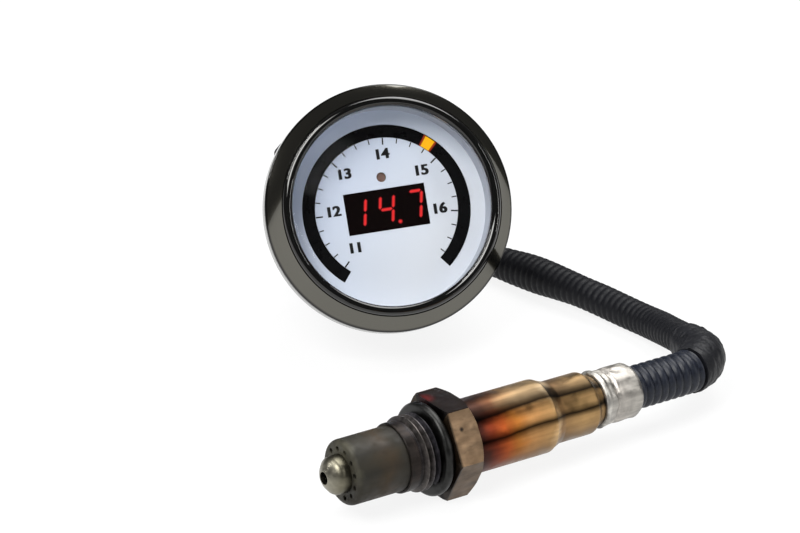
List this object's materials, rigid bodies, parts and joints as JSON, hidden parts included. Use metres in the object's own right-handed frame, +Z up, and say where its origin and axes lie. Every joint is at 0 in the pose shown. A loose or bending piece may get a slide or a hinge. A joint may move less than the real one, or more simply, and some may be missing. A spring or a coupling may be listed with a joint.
{
  "type": "air fuel ratio gauge",
  "caption": "Round panel gauge with a lit bar of lamps and a digit display, its screw-in exhaust sensor with a stepped sleeve, and the sensor's coiled lead",
  "frame": {"origin": "centre of the underside of the bounding box of gauge and sensor, without the free lead and what is on it", "axes": "+Z up from the floor, +Y from the reader of the dial towards the back, +X to the reader's right"},
  "size_m": [0.1044, 0.2185, 0.0624],
  "materials": {
    "bezel_black": "semi-gloss black paint, glossier on the lip",
    "lens_glass": "clear and flat",
    "rubber_black": "dull black",
    "ring_pale": "pale grey",
    "dial_white": "white with a faint blue tint and printed black marks",
    "smoke": "smoked, nearly black",
    "display_black": "dark red filter, nearly black",
    "digit_red": "lit red",
    "lamp_amber": "lamp",
    "eye_grey": "grey-brown",
    "baffle_white": "white",
    "board_green": "green board",
    "chip_black": "black",
    "spacer_brass": "plain",
    "part_grey": "grey",
    "housing_black": "fine grained black",
    "screw_steel": "plated",
    "inlet_white": "natural white",
    "pin_gold": "gold plated",
    "plated_steel": "zinc plated",
    "tube_olive": "heat darkened brown-olive",
    "cone_steel": "bright",
    "ceramic_white": "white ceramic",
    "shell_steel": "heat darkened, blue and tan",
    "gasket_steel": "dull grey",
    "sleeve_tint": "heat tinted from purple brown to gold",
    "cap_steel": "mottled silver",
    "boot_black": "ribbed black rubber",
    "tape_black": "wrinkled black tape",
    "loom_black": "blue-black",
    "lead_black": "black jacket",
    "plug_black": "black"
  },
  "bodies": {
    "kit": {"inner_ring": "ring_pale", "dial": "dial_white", "lamp_window": "smoke", "display_filter": "display_black", "display_module": "chip_black", "digit_bars": "digit_red", "light_sensor": "eye_grey", "lamp_baffle": "baffle_white", "lamps": "lamp_amber", "main_board": "board_green", "main_chips": "chip_black", "board_spacers": "spacer_brass", "board_link": "chip_black", "power_board": "board_green", "power_parts": "part_grey", "housing": "housing_black", "rear_cover": "housing_black", "cover_screws": "screw_steel", "power_inlet": "inlet_white", "power_pins": "pin_gold", "sensor_inlet": "plug_black", "sensor_pins": "pin_gold", "studs": "plated_steel", "sensor_plug": "plug_black", "protection_tube": "tube_olive", "inner_tube": "cone_steel", "sensing_element": "ceramic_white", "sensor_shell": "shell_steel", "crush_gasket": "gasket_steel", "sensor_sleeve": "sleeve_tint", "ceramic_bush": "ceramic_white", "crimp_cap": "cap_steel", "grommet": "rubber_black", "boot": "boot_black", "tape_wrap": "tape_black", "loom": "loom_black", "loom_end": "rubber_black", "lead_run": "lead_black", "lead_coil": "lead_black", "lead_rise": "lead_black", "coil_ties": "plug_black"},
    "bezel": {"bezel": "bezel_black"},
    "lens_carrier": {"lens": "lens_glass", "lens_gasket": "rubber_black"},
    "bracket": {"bracket": "plated_steel"},
    "washer_left": {"washer_left": "plated_steel"},
    "washer_right": {"washer_right": "plated_steel"},
    "nut_left": {"thumb_nut_left": "plated_steel"},
    "nut_right": {"thumb_nut_right": "plated_steel"},
    "latch": {"plug_latch": "plug_black"}
  },
  "joints": [
    {"name": "bezel_turn", "type": "hinge", "parent": "lens_carrier", "child": "bezel", "pos_m": [-0.022, 0.02536, 0.03585], "axis": [0, -0.887, 0.4617], "range_deg": [0, 1081]},
    {"name": "lens_slide", "type": "slide", "parent": "kit", "child": "lens_carrier", "axis": [0, -0.887, 0.4617], "range_m": [0, 0.0045]},
    {"name": "bracket_slide", "type": "slide", "parent": "kit", "child": "bracket", "axis": [0, 0.887, -0.4617], "range_m": [0, 0.004]},
    {"name": "washer_left_slide", "type": "slide", "parent": "kit", "child": "washer_left", "axis": [0, 0.887, -0.4617], "range_m": [-0.00385, 0.0014]},
    {"name": "nut_left_turn", "type": "hinge", "parent": "washer_left", "child": "nut_left", "pos_m": [-0.03793, 0.06514, 0.01351], "axis": [0, 0.887, -0.4617], "range_deg": [-1981, 721]},
    {"name": "washer_right_slide", "type": "slide", "parent": "kit", "child": "washer_right", "axis": [0, 0.887, -0.4617], "range_m": [-0.00385, 0.0014]},
    {"name": "nut_right_turn", "type": "hinge", "parent": "washer_right", "child": "nut_right", "pos_m": [-0.00607, 0.06648, 0.01608], "axis": [0, 0.887, -0.4617], "range_deg": [-1981, 721]},
    {"name": "latch_rock", "type": "hinge", "parent": "kit", "child": "latch", "pos_m": [-0.02368, 0.07268, 0.03199], "axis": [-0.9959, -0.0418, -0.0804], "range_deg": [0, 6], "stiffness_Nm_per_rad": 0.02}
  ],
  "couplings": [
    {"joint": "bezel_turn", "follows": "lens_slide", "rad_per_m": 4188.8},
    {"joint": "nut_left_turn", "follows": "washer_left_slide", "rad_per_m": 8976},
    {"joint": "nut_right_turn", "follows": "washer_right_slide", "rad_per_m": 8976}
  ]
}
